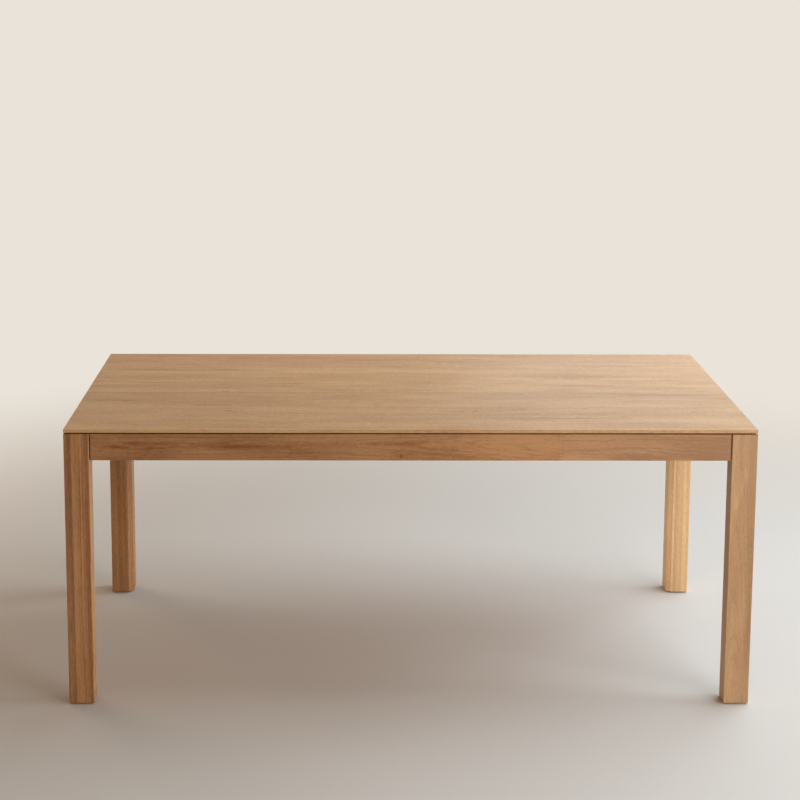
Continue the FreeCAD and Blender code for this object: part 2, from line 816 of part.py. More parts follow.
def nut_blank():
    body = new_body("nut_blank")
    outline = new_sketch(body, "nut_outline", "XY_Plane")
    corner = size.nut_flats / ROOT_3
    turns = [math.radians(60 * step) for step in range(6)]
    add_polygon(outline, [(corner * math.cos(turn), corner * math.sin(turn)) for turn in turns])
    add_circle(outline, (0, 0), size.bolt_radius + size.pilot_clearance)
    pad(body, outline, size.nut_height)
    return body


def screw_blank(label, radius, head_radius, head_height, length):
    """A pan-head wood screw: its head below z = 0, its shank and point above."""
    shoulder = -head_height / 2
    crown = head_radius * size.screw_crown
    return turned_body(label, [
        (0, -head_height), (crown, -head_height), (head_radius, shoulder), (head_radius, 0),
        (radius, 0), (radius, length - size.screw_point), (0, length)])


# ---- clips and screws for the top ----

def clip_blank():
    """A Z-shaped clip; y = 0 is the apron's inner face and z = 0 the underside of the top."""
    body = new_body("clip_blank")
    gauge = size.clip_gauge
    tongue_top = -size.groove_drop
    upright = size.clip_standoff
    foot_end = upright + size.clip_foot
    profile = new_sketch(body, "clip_profile", "YZ_Plane", -size.clip_width / 2)
    add_polygon(profile, [
        (-size.clip_tongue, tongue_top - gauge), (upright + gauge, tongue_top - gauge),
        (upright + gauge, -gauge), (foot_end, -gauge), (foot_end, 0), (upright, 0),
        (upright, tongue_top), (-size.clip_tongue, tongue_top)])
    strip = pad(body, profile, size.clip_width)

    def level_at(box, places):
        level = near(box.YMin, box.YMax) and near(box.ZMin, box.ZMax)
        return level and any(near(box.YMin, y) and near(box.ZMin, z) for y, z in places)

    inside = [(upright, tongue_top), (upright + gauge, -gauge)]
    outside = [(upright + gauge, tongue_top - gauge), (upright, 0)]
    bends = round_edges(body, "inside_bends", strip, lambda box: level_at(box, inside), size.clip_bend)
    round_edges(body, "outside_bends", bends, lambda box: level_at(box, outside), size.clip_bend + gauge)
    drill(body, "screw_hole", (0, size.clip_screw_reach, -gauge), (0, 0, 1),
          size.screw_radius + size.screw_hole_clearance, gauge)
    return body


def make_top_fixings():
    placed_copies("top_clips", clip_blank(), clip_places(0))
    blank = screw_blank("clip_screw_blank", size.screw_radius, size.screw_head_radius,
                        size.screw_head_height, size.clip_gauge + size.top_bite)
    below_foot = FreeCAD.Placement(Vector(0, 0, -size.clip_gauge.value), FreeCAD.Rotation())
    places = [place.multiply(below_foot) for place in clip_places(size.clip_screw_reach)]
    placed_copies("clip_screws", blank, places)

    web = size.rail_height - size.counterbore_depth
    blank = screw_blank("rail_screw_blank", size.rail_screw_radius, size.rail_screw_head_radius,
                        size.rail_screw_head_height, web + size.top_bite)
    under_web = (frame_top - web).value
    places = [FreeCAD.Placement(Vector(x.value, y.value, under_web), FreeCAD.Rotation())
              for x in rail_positions for y in rail_screw_places]
    placed_copies("rail_screws", blank, places)


# ---- glides ----

def make_glides():
    """A nailed disc under each leg; the nail's head sits in the disc's recess, off the floor."""
    bore = size.nail_radius + size.pilot_clearance
    thickness = size.glide_thickness
    recess = size.glide_recess_radius
    depth = size.glide_recess_depth
    rim = size.glide_radius
    easing = size.glide_easing
    glide = turned_body("glide_blank", [
        (recess, 0), (rim - easing, 0), (rim, easing), (rim, thickness),
        (bore, thickness), (bore, depth), (recess, depth)])

    head = size.nail_head_radius
    shank = size.nail_radius
    length = size.nail_length
    nail = turned_body("nail_blank", [
        (0, -size.nail_head_height), (head, -size.nail_head_height), (head, 0),
        (shank, 0), (shank, length - size.nail_point), (0, length)])
    under_leg = FreeCAD.Placement(Vector(leg_middle.value, leg_middle.value, 0), FreeCAD.Rotation())
    in_recess = FreeCAD.Placement(Vector(0, 0, depth.value), FreeCAD.Rotation())
    glides = [corner_placement(corner).multiply(under_leg) for corner in CORNERS]
    placed_copies("foot_glides", glide, glides)
    placed_copies("glide_nails", nail, [place.multiply(in_recess) for place in glides])


# ---- check and write ----

def check_model():
    """Stop if any object failed, any cut removed nothing, or any piece isn't whole."""
    cuts = ("PartDesign::Pocket", "PartDesign::SubtractiveCylinder")
    for item in doc.Objects:
        if "Invalid" in item.State or "Error" in item.State:
            raise RuntimeError("%s failed: %s" % (item.Label, item.State))
        if item.TypeId in cuts and item.Shape.Volume > item.BaseFeature.Shape.Volume - SAME_VOLUME:
            raise RuntimeError("%s cuts nothing" % item.Label)
    for node in nodes:
        if node.Shape.isNull() or not node.Shape.isValid():
            raise RuntimeError("%s has no valid shape" % node.Label)
        if node.TypeId == "PartDesign::Body" and len(node.Shape.Solids) != 1:
            raise RuntimeError("%s isn't one solid" % node.Label)


def write_parts():
    os.makedirs("parts", exist_ok=True)
    for node in nodes:
        node.Shape.exportStep("parts/%s.step" % node.Label)
    solids = sum(len(node.Shape.Solids) for node in nodes)
    print("%d nodes, %d solids" % (len(nodes), solids))


make_top()
make_legs()
make_aprons()
make_rails()
make_corner_hardware()
make_top_fixings()
make_glides()
doc.recompute()
check_model()
write_parts()
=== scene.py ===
import math

import bpy
from mathutils import Matrix, Vector


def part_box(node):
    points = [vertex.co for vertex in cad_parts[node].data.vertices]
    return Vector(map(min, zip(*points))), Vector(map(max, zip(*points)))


# Looks of a solid oak dining table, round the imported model. Lengths are metres in the row frame:
# X along the table, the front faces -Y, +Z up, the floor at z = 0. Inside the wood material the
# lengths are millimetres, because grain is. Colours are sRGB, from 0 to 255.

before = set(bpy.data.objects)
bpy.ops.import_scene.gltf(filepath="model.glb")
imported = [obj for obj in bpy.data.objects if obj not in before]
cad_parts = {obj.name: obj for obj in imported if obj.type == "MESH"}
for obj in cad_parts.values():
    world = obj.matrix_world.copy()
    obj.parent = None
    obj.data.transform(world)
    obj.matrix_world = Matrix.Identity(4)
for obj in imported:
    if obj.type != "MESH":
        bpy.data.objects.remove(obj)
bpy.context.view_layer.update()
scene = bpy.context.scene

X, Y, Z = range(3)
MILLIMETRES = 1000.0  # in a metre

# ---- camera: the photograph's place, in its 800 by 800 frame ----

IMAGE_SIZE = 800
SENSOR_WIDTH = 36.0
FOCAL_PIXELS = 1715.45
CAMERA_PLACE = (-0.1612, -4.7603, 1.9086)
CAMERA_YAW = 0.0064  # towards +X, radians
CAMERA_PITCH = 0.1524  # downwards
CAMERA_ROLL = 0.0026
CAMERA_SHIFT = (0.05, -0.20)
CAMERA_REACH = 300.0

# ---- stage ----

BACKGROUND = (234, 227, 217)
FLOOR = (207, 198, 190)
FLOOR_WEAVE = 3  # how far the floor's colour goes up and down
FLOOR_RADIUS = 90.0
FLOOR_SIDES = 96
FLOOR_FADE = (1.3, 3.6)  # distances from the table's middle between which the floor becomes background
WORLD_LIGHT = (255, 234, 207)
WORLD_STRENGTH = 0.31

# Each soft lamp: its name, place, aim, width and height, watts and colour.
LAMPS = (
    ("window", (2.0, 0.4, 2.6), (0.2, 0.0, 0.6), (2.4, 2.2), 83.0, (218, 240, 255)),
    ("fill", (2.4, -2.6, 1.05), (0.3, 0.0, 0.4), (2.2, 1.4), 68.0, (240, 248, 255)),
    ("rim", (1.5, 3.4, 1.5), (0.4, 0.0, 0.75), (2.2, 1.4), 20.0, (224, 241, 255)),
    ("sun_side", (7.5, 0.1, 1.3), (0.0, 0.0, 0.4), (3.0, 1.6), 205.0, (238, 247, 255)),
    ("side", (-3.2, 2.3, 1.6), (-0.3, 0.0, 0.5), (2.0, 1.6), 26.0, (255, 230, 200)),
)
# A soft spot on the back right leg: its name, place, aim, angle in degrees, watts and colour.
KICKER = ("kicker", (-1.9, -3.6, 0.42), (0.87, 0.42, 0.26), 11.0, 480.0, (255, 250, 240))
SPOT_RADIUS = 0.25  # how soft its shadows are

# ---- wood: its colours and grain ----

# Light and dark wood
TOP_OAK = ((206, 162, 117), (163, 116, 73))
APRON_OAK = ((184, 134, 91), (134, 83, 44))
SHORT_APRON_OAK = ((187, 140, 98), (149, 108, 76))
PORE_COLOUR = (112, 78, 50)
RAY_COLOUR = (226, 190, 146)
MEAN_TONE = 0.56  # of 0 for the dark wood to 1 for the light
END_GRAIN_STAIN = 0.22  # how much darker end grain is
OAK_SHINE = 0.20

# The grain's settings: the millimetres between rings, and the strengths of rings, streaks and flecks.
GRAIN_SETTINGS = ("Ring width", "Figure", "Streaks", "Flecks")
TOP_GRAIN = (2.2, 0.27, 0.43, 0.85)
APRON_GRAIN = (2.6, 0.48, 0.40, 0.45)

# Every mark below is an oval patch of a board: its middle along and across, half its length and half
# its width, all in metres, then how far it bends the rings, in millimetres, and how much it darkens
# the wood.

# Each board of the top, from the front: its tone, where its pith lies along Y and Z from the board's
# middle (mm), and the turns about Z and Y that make the pith drift (degrees).
TOP_BOARDS = (
    (1.02, -95, -60, 0.15, 0.20),
    (0.99, 60, -85, -0.20, 0.30),
    (1.00, 120, -30, 0.10, 0.10),
    (0.96, -40, -95, 0.25, -0.35),
    (0.94, 105, -45, -0.15, 0.15),
    (1.03, -10, -110, 0.20, 0.40),
    (1.05, -120, -40, -0.10, -0.10),
    (1.05, 75, -70, 0.15, -0.25),
    (1.06, -65, -90, -0.25, 0.30),
    (1.03, 30, -120, 0.20, -0.35),
)
TOP_LOG_STEP = 3100.0  # how far along the log each next board lies, mm
# The darker and lighter patches that stand out in the photograph, by board.
TOP_MARKS = {
    1: ((-0.25, -0.371, 0.20, 0.006, 0.0, 0.30), (0.45, -0.385, 0.25, 0.010, 0.0, 0.16),
        # painted light: the left half of the front edge made lighter
        (-0.75, -0.450, 0.45, 0.004, 0.0, -0.42), (-0.38, -0.450, 0.20, 0.004, 0.0, -0.40)),
    2: ((-0.47, -0.274, 0.06, 0.006, 0.0, 0.28), (0.42, -0.332, 0.33, 0.012, 2.0, 0.22)),
    3: ((-0.56, -0.214, 0.30, 0.006, 0.0, -0.35), (0.12, -0.262, 0.05, 0.007, 0.0, 0.28)),
    4: ((-0.79, -0.142, 0.10, 0.009, 0.0, 0.44), (-0.54, -0.192, 0.10, 0.008, 0.0, 0.34)),
    5: ((0.29, -0.058, 0.10, 0.012, 0.0, 0.30), (0.74, -0.075, 0.22, 0.010, 0.0, 0.36),
        (0.55, -0.056, 0.30, 0.007, 0.0, 0.20)),
    7: ((-0.73, 0.071, 0.12, 0.009, 0.0, 0.44), (-0.33, 0.060, 0.08, 0.007, 0.0, 0.30)),
    8: ((-0.37, 0.130, 0.10, 0.014, 1.5, 0.30), (0.62, 0.143, 0.34, 0.009, 0.0, 0.26)),
    9: ((-0.77, 0.237, 0.17, 0.012, 0.0, 0.52), (-0.53, 0.237, 0.06, 0.011, 0.0, 0.38),
        (-0.45, 0.199, 0.50, 0.006, 0.0, -0.30)),
    10: ((-0.11, 0.364, 0.14, 0.012, 0.0, 0.26), (0.21, 0.372, 0.06, 0.010, 0.0, 0.22)),
}
# The pin knots of the top, by board, and the rest of each one's mark.
TOP_PINS = {
    2: ((0.451, -0.328), (0.574, -0.318)),
    3: ((-0.486, -0.255), (0.180, -0.256), (0.310, -0.236), (0.769, -0.268)),
    4: ((-0.088, -0.183),),
    6: ((-0.510, -0.040),),
}
PIN_MARK = (0.013, 0.006, 0.0, 1.6)

# Each leg: its light and dark wood, the strengths of its rings, streaks and flecks, and the tones of
# its outer, core and inner staves.
LEGS = {
    "front_left": (((192, 140, 94), (145, 96, 57)), (1.30, 0.60, 0.45), (0.86, 1.10, 0.98)),
    "back_left": (((192, 141, 94), (151, 102, 61)), (1.00, 0.60, 0.60), (0.92, 0.86, 0.88)),
    "back_right": (((204, 166, 124), (171, 132, 92)), (0.80, 0.50, 0.60), (1.09, 0.93, 1.04)),
    "front_right": (((194, 152, 111), (158, 116, 78)), (0.30, 0.26, 0.45), (0.88, 0.97, 1.04)),
}
LEG_RING_WIDTH = 2.4
LEG_LOG_STEP = 2300.0
# Where the pith of each stave lies from its middle (mm), and how it drifts.
STAVE_PITHS = {"outer": (14, 75), "core": (2, 85), "inner": (-10, 95)}
STAVE_DRIFT = (0.5, 0.8)
# The lines that run up the front left leg, by stave, and a lighter inner edge, part sapwood and part
# painted light and sheen from the right.
LEG_MARKS = {
    "front_left_leg_outer_stave": (
        (0.640, -0.890, 0.330, 0.016, 0.0, 0.22), (0.217, -0.891, 0.040, 0.005, 0.0, 0.35)),
    "front_left_leg_core_stave": (
        (0.560, -0.8600, 0.300, 0.0020, 0.0, 0.60), (0.500, -0.8572, 0.450, 0.0016, 0.0, -0.30),
        (0.480, -0.8735, 0.300, 0.0040, 0.0, -0.24), (0.250, -0.8670, 0.220, 0.0022, 0.0, 0.36)),
    "front_left_leg_inner_stave": (
        (0.560, -0.8525, 0.200, 0.0025, 0.0, 0.36), (0.220, -0.8440, 0.160, 0.0030, 0.0, 0.28),
        # lighter inner edge: part sapwood, part painted light and sheen from the right
        (0.450, -0.8340, 0.750, 0.0040, 0.0, -0.75)),
}
# The front right leg is one flat-sawn piece to the eye: its staves share the grain of one log, and
# its marks cross them all.
ONE_LOG_LEG = "front_right"
ONE_LOG_MIDDLE = "front_right_leg_core_stave"
ONE_LOG_PITH = (45, 6)
ONE_LOG_DRIFT = (-1.3, -0.6)
ONE_LOG_MARKS = (
    (0.625, 0.872, 0.035, 0.007, 0.0, -0.22), (0.590, 0.861, 0.035, 0.007, 0.0, -0.22),
    (0.556, 0.850, 0.035, 0.007, 0.0, -0.20), (0.250, 0.893, 0.240, 0.010, 0.0, 0.25))

# The aprons and cross rails, with the number of the length of log that each is cut from; 7 isn't used.
APRONS_AND_RAILS = {
    "back_apron_long_board": 0, "back_apron_short_board": 1,
    "front_apron_long_board": 2, "front_apron_short_board": 3,
    "left_apron": 4, "left_cross_rail": 5, "middle_cross_rail": 6,
    "right_apron": 8, "right_cross_rail": 9,
}
APRON_LOG_STEP = 2700.0
APRON_PITH = (62, 8)
APRON_DRIFT = (0.45, -0.9)
SHORT_APRON_DRIFT = (0.3, -1.6)
SHORT_APRON_TONE = 1.10
# On the front apron's long board, the swirl near its left end, the flames, the small knot near its
# middle, and painted shade over its left and painted light over its right. On its short board, a
# lighter top left, a darker patch low down and a darker right end.
APRON_MARKS = {
    "front_apron_long_board": (
        (-0.771, 0.719, 0.022, 0.014, 9.0, -0.12), (-0.762, 0.703, 0.050, 0.007, 3.0, 0.48),
        (-0.665, 0.700, 0.065, 0.005, 0.0, 0.42), (-0.540, 0.690, 0.110, 0.004, 0.0, -0.38),
        (-0.455, 0.704, 0.075, 0.008, 0.0, 0.42), (-0.070, 0.712, 0.110, 0.010, 0.0, 0.30),
        (-0.025, 0.680, 0.045, 0.018, -3.0, 0.10), (-0.025, 0.680, 0.006, 0.006, 0.0, 1.30),
        # painted shade over the left end, painted light over the right
        (-0.700, 0.705, 0.160, 0.060, 0.0, 0.16), (0.290, 0.710, 0.300, 0.070, 0.0, -0.40)),
    "front_apron_short_board": (
        (0.480, 0.725, 0.160, 0.030, 0.0, -0.24), (0.800, 0.690, 0.230, 0.070, 0.0, 0.52),
        (0.590, 0.672, 0.140, 0.030, 0.0, 0.50)),
}
# The finger joint of a long apron: the columns where its fingers end, from the joint's middle, with
# how far up a finger each column's ends lie and how dark their gaps are.
SPLICES = {"front": 0.390, "back": -0.390}  # the joint's middle, along X
FINGER_PITCH = 0.007
FINGER_GAP = 0.0016
FINGER_COLUMNS = ((-0.005, 0.0, 0.5), (0.005, 0.5, 1.8))

# ---- hardware ----

# Colour and roughness
BRACKET_STEEL = ((188, 190, 192), 0.30)
ZINC_STEEL = ((202, 204, 205), 0.24)
STEEL_PATCH_TONE = 0.72  # how light its dull patches are
NYLON = ((198, 192, 180), (214, 209, 198))  # dark and light
ZINC_NODES = (
    "hanger_bolts", "bolt_washers", "bolt_nuts", "bracket_screws", "top_clips", "clip_screws",
    "rail_screws", "glide_nails")


# ---- nodes and materials ----

def linear(colour):
    """An sRGB colour of 0 to 255 as the linear RGBA that shaders take."""
    parts = [part / 255 for part in colour]
    return tuple(p / 12.92 if p <= 0.04045 else ((p + 0.055) / 1.055) ** 2.4 for p in parts) + (1.0,)


def toned(colour, tone):
    """An sRGB colour made lighter or darker by a linear factor, as linear RGBA."""
    return tuple(min(1.0, part * tone) for part in linear(colour)[:3]) + (1.0,)


class Wire:
    """A number that flows between shader nodes; arithmetic on it adds Math nodes."""

    def __init__(self, graph, socket):
        self.graph = graph
        self.socket = socket

    def __add__(self, other):
        return self.graph.math("ADD", self, other)

    def __sub__(self, other):
        return self.graph.math("SUBTRACT", self, other)

    def __mul__(self, other):
        return self.graph.math("MULTIPLY", self, other)

    def __truediv__(self, other):
        return self.graph.math("DIVIDE", self, other)


class Graph:
    """Adds nodes to one tree. A value is a number, a tuple, a socket or a Wire."""

    def __init__(self, tree):
        self.tree = tree

    def node(self, kind, **settings):
        node = self.tree.nodes.new(kind)
        for name, value in settings.items():
            setattr(node, name, value)
        return node

    def feed(self, socket, value):
        if isinstance(value, Wire):
            value = value.socket
        if isinstance(value, bpy.types.NodeSocket):
            self.tree.links.new(value, socket)
        else:
            socket.default_value = value

    def math(self, operation, *values):
        node = self.node("ShaderNodeMath", operation=operation)
        for socket, value in zip(node.inputs, values):
            self.feed(socket, value)
        return Wire(self, node.outputs[0])

    def distance(self, u, v):
        """How far (u, v) lies from (0, 0)."""
        return self.math("SQRT", u * u + v * v)

    def join(self, x, y, z):
        node = self.node("ShaderNodeCombineXYZ")
        for socket, value in zip(node.inputs, (x, y, z)):
            self.feed(socket, value)
        return node.outputs[0]

    def split(self, vector):
        node = self.node("ShaderNodeSeparateXYZ")
        self.feed(node.inputs[0], vector)
        return [Wire(self, output) for output in node.outputs]

    def place(self):
        """The x, y and z of the place on the object, in metres."""
        return self.split(self.node("ShaderNodeTexCoord").outputs["Object"])

    def noise(self, x, y, z, detail=2.0, roughness=0.5):
        """Noise from 0 to 1 about a mean of a half, with features one unit long."""
        node = self.node("ShaderNodeTexNoise")
        self.feed(node.inputs["Vector"], self.join(x, y, z))
        node.inputs["Scale"].default_value = 1.0
        node.inputs["Detail"].default_value = detail
        node.inputs["Roughness"].default_value = roughness
        return Wire(self, node.outputs["Fac"])

    def mottle(self, per_metre, detail=2.0):
        """Noise on the object, with so many features to a metre along X, Y and Z."""
        x, y, z = (part * count for part, count in zip(self.place(), per_metre))
        return self.noise(x, y, z, detail)

    def ease(self, value, low, high, start=0.0, end=1.0):
        """Goes smoothly from start to end while the value goes from low to high."""
        node = self.node("ShaderNodeMapRange", interpolation_type="SMOOTHSTEP")
        for name, amount in (("Value", value), ("From Min", low), ("From Max", high),
                             ("To Min", start), ("To Max", end)):
            self.feed(node.inputs[name], amount)
        return Wire(self, node.outputs["Result"])

    def mix(self, share, one, other):
        """One colour, with a share of the other."""
        node = self.node("ShaderNodeMix", data_type="RGBA", clamp_factor=True)
        colour_a, colour_b, colour_result = 6, 7, 2  # other kinds' sockets have the same names
        self.feed(node.inputs["Factor"], share)
        self.feed(node.inputs[colour_a], one)
        self.feed(node.inputs[colour_b], other)
        return node.outputs[colour_result]

    def bump(self, shader, height, strength, unit):
        """Give a shader's surface a relief, from a height that counts units of so many metres."""
        node = self.node("ShaderNodeBump")
        node.inputs["Strength"].default_value = strength
        node.inputs["Distance"].default_value = unit
        self.feed(node.inputs["Height"], height)
        self.feed(shader.inputs["Normal"], node.outputs["Normal"])

    def show(self, output, share, shader, other):
        """Send one shader, with a share of the other, to the tree's output node."""
        blend = self.node("ShaderNodeMixShader")
        for socket, value in zip(blend.inputs, (share, shader.outputs[0], other.outputs[0])):
            self.feed(socket, value)
        self.feed(self.tree.nodes[output].inputs["Surface"], blend.outputs[0])


def new_material(name, **shader_values):
    """A material with one Principled shader, whose uniform values are set on its own sockets."""
    material = bpy.data.materials.new(name)
    material.use_nodes = True
    shader = material.node_tree.nodes["Principled BSDF"]
    for socket, value in shader_values.items():
        shader.inputs[socket.replace("_", " ")].default_value = value
    return material, Graph(material.node_tree), shader


def dress(nodes, material):
    """Give CAD nodes a material in every slot of their objects."""
    for node in nodes:
        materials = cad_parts[node].data.materials
        materials.clear()
        materials.append(material)


# ---- oak ----

def add_sockets(tree, way, kind, *names):
    for name in names:
        tree.interface.new_socket(name, in_out=way, socket_type=kind)


def oak_grain():
    """A group that turns a place in a log, in millimetres with x along the grain, into oak.

    Growth rings lie round the log's middle, so one material shows arches on a flat-sawn face,
    straight lines on a quarter-sawn one and arcs on end grain."""
    tree = bpy.data.node_groups.new("oak_grain", "ShaderNodeTree")
    settings = (*GRAIN_SETTINGS, "Deflection", "Stain")
    add_sockets(tree, "INPUT", "NodeSocketVector", "Place")
    add_sockets(tree, "INPUT", "NodeSocketColor", "Light", "Dark")
    add_sockets(tree, "INPUT", "NodeSocketFloat", *settings)
    add_sockets(tree, "OUTPUT", "NodeSocketColor", "Color")
    add_sockets(tree, "OUTPUT", "NodeSocketFloat", "Roughness", "Height")
    graph = Graph(tree)
    given = graph.node("NodeGroupInput").outputs
    result = graph.node("NodeGroupOutput").inputs
    ring, figure, streaks, flecks, deflection, stain = (Wire(graph, given[name]) for name in settings)
    x, y, z = graph.split(given["Place"])

    def noise(length, width, detail=2.0, roughness=0.5):
        """Noise about zero, with features of this length along the grain and this width across."""
        return graph.noise(x / length, y / width, z / width, detail, roughness) - 0.5

    # The trunk isn't straight: its rings wander slowly, and waver a little on the way.
    wander = noise(length=620, width=70, detail=1.0)
    waver = noise(length=90, width=16)
    radius = graph.distance(y, z) + wander * 15 + waver * 2.0 + deflection
    angle = graph.math("ARCTAN2", z, y)

    # Rings differ in width, and several years together are lighter or darker.
    years = radius / ring + graph.noise(radius / 22, x / 4000, 0.0, detail=1.0) * 3
    season = graph.math("FRACT", years)
    early_wood = graph.ease(season, 0.05, 0.5, 1.0, 0.0) * graph.ease(season, 0.0, 0.05)
    decade = graph.noise(radius / 9, x / 2500, angle * 0.8) - 0.5

    # Streaks, dashes and fibres run along the grain, between short flecks, under wide clouds.
    streak = noise(length=160, width=6, roughness=0.6)
    dash = noise(length=24, width=2.8, detail=3.0, roughness=0.65)
    fibre = noise(length=10, width=0.8)
    fleck = noise(length=11, width=3.8, roughness=0.6)
    cloud = noise(length=260, width=60)

    # Pores are short dashes, crowded in the early wood. Rays are thin sheets that point at the pith.
    pores = graph.ease(noise(length=6, width=0.33, detail=1.0), 0.10, 0.18) * (early_wood * 0.85 + 0.15)
    rays = graph.ease(graph.noise(angle * 260, radius / 14, x / 11, detail=1.0), 0.62, 0.72)

    # The tone goes from 0 for the dark wood to 1 for the light.
    tone = (decade * 1.1 * figure + MEAN_TONE
            - early_wood * 0.34 * figure
            + streak * 0.6 * streaks
            + dash * 1.4 * streaks
            + fibre * 0.5 * streaks
            + fleck * flecks
            + cloud * 0.7
            - stain)
    colour = graph.mix(graph.ease(tone, 0.0, 1.0), given["Dark"], given["Light"])
    colour = graph.mix(pores * 0.45, colour, linear(PORE_COLOUR))
    colour = graph.mix(rays * 0.16, colour, linear(RAY_COLOUR))
    graph.feed(result["Color"], colour)
    graph.feed(result["Roughness"], pores * 0.2 + 0.50 + fibre * 0.16 - rays * 0.05)
    graph.feed(result["Height"], early_wood * -0.02 + pores * -0.10 + fibre * 0.02)
    return tree


OAK_GRAIN = oak_grain()


def marks_on(graph, along, across, marks):
    """How far marks bend the rings, and how much they darken the wood, at a place on a board."""
    bend, stain = 0.0, 0.0
    ragged = graph.noise(along * 24, across * 210, 0.0) - 0.5
    for middle_along, middle_across, half_length, half_width, mark_bend, mark_stain in marks:
        u = (along - middle_along) / half_length
        v = (across - middle_across) / half_width
        patch = graph.ease(graph.distance(u, v) + ragged * 1.2, 0.0, 1.0, 1.0, 0.0)
        bend = patch * mark_bend + bend
        stain = patch * mark_stain + stain
    return bend, stain


def finger_gaps(graph, east, up, middle, bottom):
    """How much the small gaps at the ends of an apron's fingers darken the wood."""
    uneven = graph.noise(up * 90, east * 10, 0.0, detail=1.0)
    stain = 0.0
    for offset, phase, depth in FINGER_COLUMNS:
        fingers_above_end = graph.math("FRACT", (up - bottom) / FINGER_PITCH - phase + 0.5) - 0.5
        u = (east - middle - offset) / FINGER_GAP
        v = fingers_above_end * FINGER_PITCH / FINGER_GAP
        gap = graph.ease(graph.distance(u, v), 0.3, 1.0, depth, 0.0)
        stain = gap * graph.ease(uneven, 0.3, 0.6) + stain
    return stain


def grain_turn(sides):
    """Turns the longest of a box's sides, which the grain follows, onto X. Also says which it is."""
    if sides.z == max(sides):
        return Matrix.Rotation(math.radians(90), 3, "Y"), Z
    if sides.y == max(sides):
        return Matrix.Rotation(math.radians(-90), 3, "Z"), Y
    return Matrix.Identity(3), X


def mark_axis(sides, grain_axis):
    """The axis that marks lie across: X on an upright piece, Y on a flat board and Z on one on edge."""
    if grain_axis == Z:
        return X
    return Y if sides.z < sides.y else Z


def place_in_log(graph, place, turn, middle, pith, drift, shift):
    """Turns a place on the object into one in the log, in millimetres with x along the grain."""
    about_z, about_y = (math.radians(angle) for angle in drift)
    turn = Matrix.Rotation(about_z, 3, "Z") @ Matrix.Rotation(about_y, 3, "Y") @ turn
    mapping = graph.node("ShaderNodeMapping", vector_type="POINT")
    mapping.inputs["Scale"].default_value = (MILLIMETRES, MILLIMETRES, MILLIMETRES)
    mapping.inputs["Rotation"].default_value = turn.to_euler()
    mapping.inputs["Location"].default_value = -(turn @ middle) - Vector((shift, *pith))
    graph.feed(mapping.inputs["Vector"], place)
    return mapping.outputs[0]


def oak(node, wood, tone, settings, pith, drift, shift, marks=(), log=None, splice=None):
    """Dress a node in oak, with its grain along its longest side.

    The wood's light and dark colours are both made lighter or darker by the tone. The log lies round
    the middle of the node that is given as its log, or else of the node itself. Once the grain is
    turned onto X, the pith lies (y, z) millimetres from that middle, and turns about Z and Y by so many
    degrees make it drift. The shift is how far along the log the node lies, in millimetres. The splice
    is the place along X of a finger joint."""
    low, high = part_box(node)
    middle = sum(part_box(log or node), Vector()) / 2 * MILLIMETRES
    turn, grain_axis = grain_turn(high - low)
    material, graph, shader = new_material("oak_" + node, IOR=1.5, Specular_IOR_Level=OAK_SHINE)
    coordinates = graph.node("ShaderNodeTexCoord").outputs
    grain = graph.node("ShaderNodeGroup", node_tree=OAK_GRAIN)
    graph.feed(grain.inputs["Place"],
               place_in_log(graph, coordinates["Object"], turn, middle, pith, drift, shift))

    facing = graph.math("ABSOLUTE", graph.split(coordinates["Normal"])[grain_axis])
    stain = graph.ease(facing, 0.6, 0.95, 0.0, END_GRAIN_STAIN)
    place = graph.split(coordinates["Object"])
    if marks:
        across = place[mark_axis(high - low, grain_axis)]
        bend, marks_stain = marks_on(graph, place[grain_axis], across, marks)
        graph.feed(grain.inputs["Deflection"], bend)
        stain = stain + marks_stain
    if splice is not None:
        stain = stain + finger_gaps(graph, place[X], place[Z], splice, low.z)
    graph.feed(grain.inputs["Stain"], stain)

    light, dark = wood
    grain.inputs["Light"].default_value = toned(light, tone)
    grain.inputs["Dark"].default_value = toned(dark, tone)
    for name, value in zip(GRAIN_SETTINGS, settings):
        grain.inputs[name].default_value = value
    graph.feed(shader.inputs["Base Color"], grain.outputs["Color"])
    graph.feed(shader.inputs["Roughness"], grain.outputs["Roughness"])
    graph.bump(shader, grain.outputs["Height"], strength=0.5, unit=0.001)
    dress([node], material)


def dress_top():
    for number, (tone, pith_y, pith_z, about_z, about_y) in enumerate(TOP_BOARDS, start=1):
        pins = tuple(place + PIN_MARK for place in TOP_PINS.get(number, ()))
        oak("top_board_%02d" % number, TOP_OAK, tone, TOP_GRAIN, (pith_y, pith_z), (about_z, about_y),
            TOP_LOG_STEP * number, TOP_MARKS.get(number, ()) + pins)


def dress_legs():
    for index, (leg, (wood, strengths, tones)) in enumerate(LEGS.items()):
        first_stave = index * len(STAVE_PITHS)
        settings = (LEG_RING_WIDTH, *strengths)
        for step, (stave, pith) in enumerate(STAVE_PITHS.items()):
            node = "%s_leg_%s_stave" % (leg, stave)
            if leg == ONE_LOG_LEG:
                oak(node, wood, tones[step], settings, ONE_LOG_PITH, ONE_LOG_DRIFT,
                    LEG_LOG_STEP * first_stave, ONE_LOG_MARKS, ONE_LOG_MIDDLE)
            else:
                oak(node, wood, tones[step], settings, pith, STAVE_DRIFT,
                    LEG_LOG_STEP * (first_stave + step), LEG_MARKS.get(node, ()))


def dress_aprons_and_rails():
    for node, length in APRONS_AND_RAILS.items():
        wood, tone, drift = APRON_OAK, 1.0, APRON_DRIFT
        if "short" in node:
            wood, tone, drift = SHORT_APRON_OAK, SHORT_APRON_TONE, SHORT_APRON_DRIFT
        oak(node, wood, tone, APRON_GRAIN, APRON_PITH, drift, APRON_LOG_STEP * length,
            APRON_MARKS.get(node, ()), splice=SPLICES.get(node.split("_apron_")[0]))


# ---- metal and plastic ----

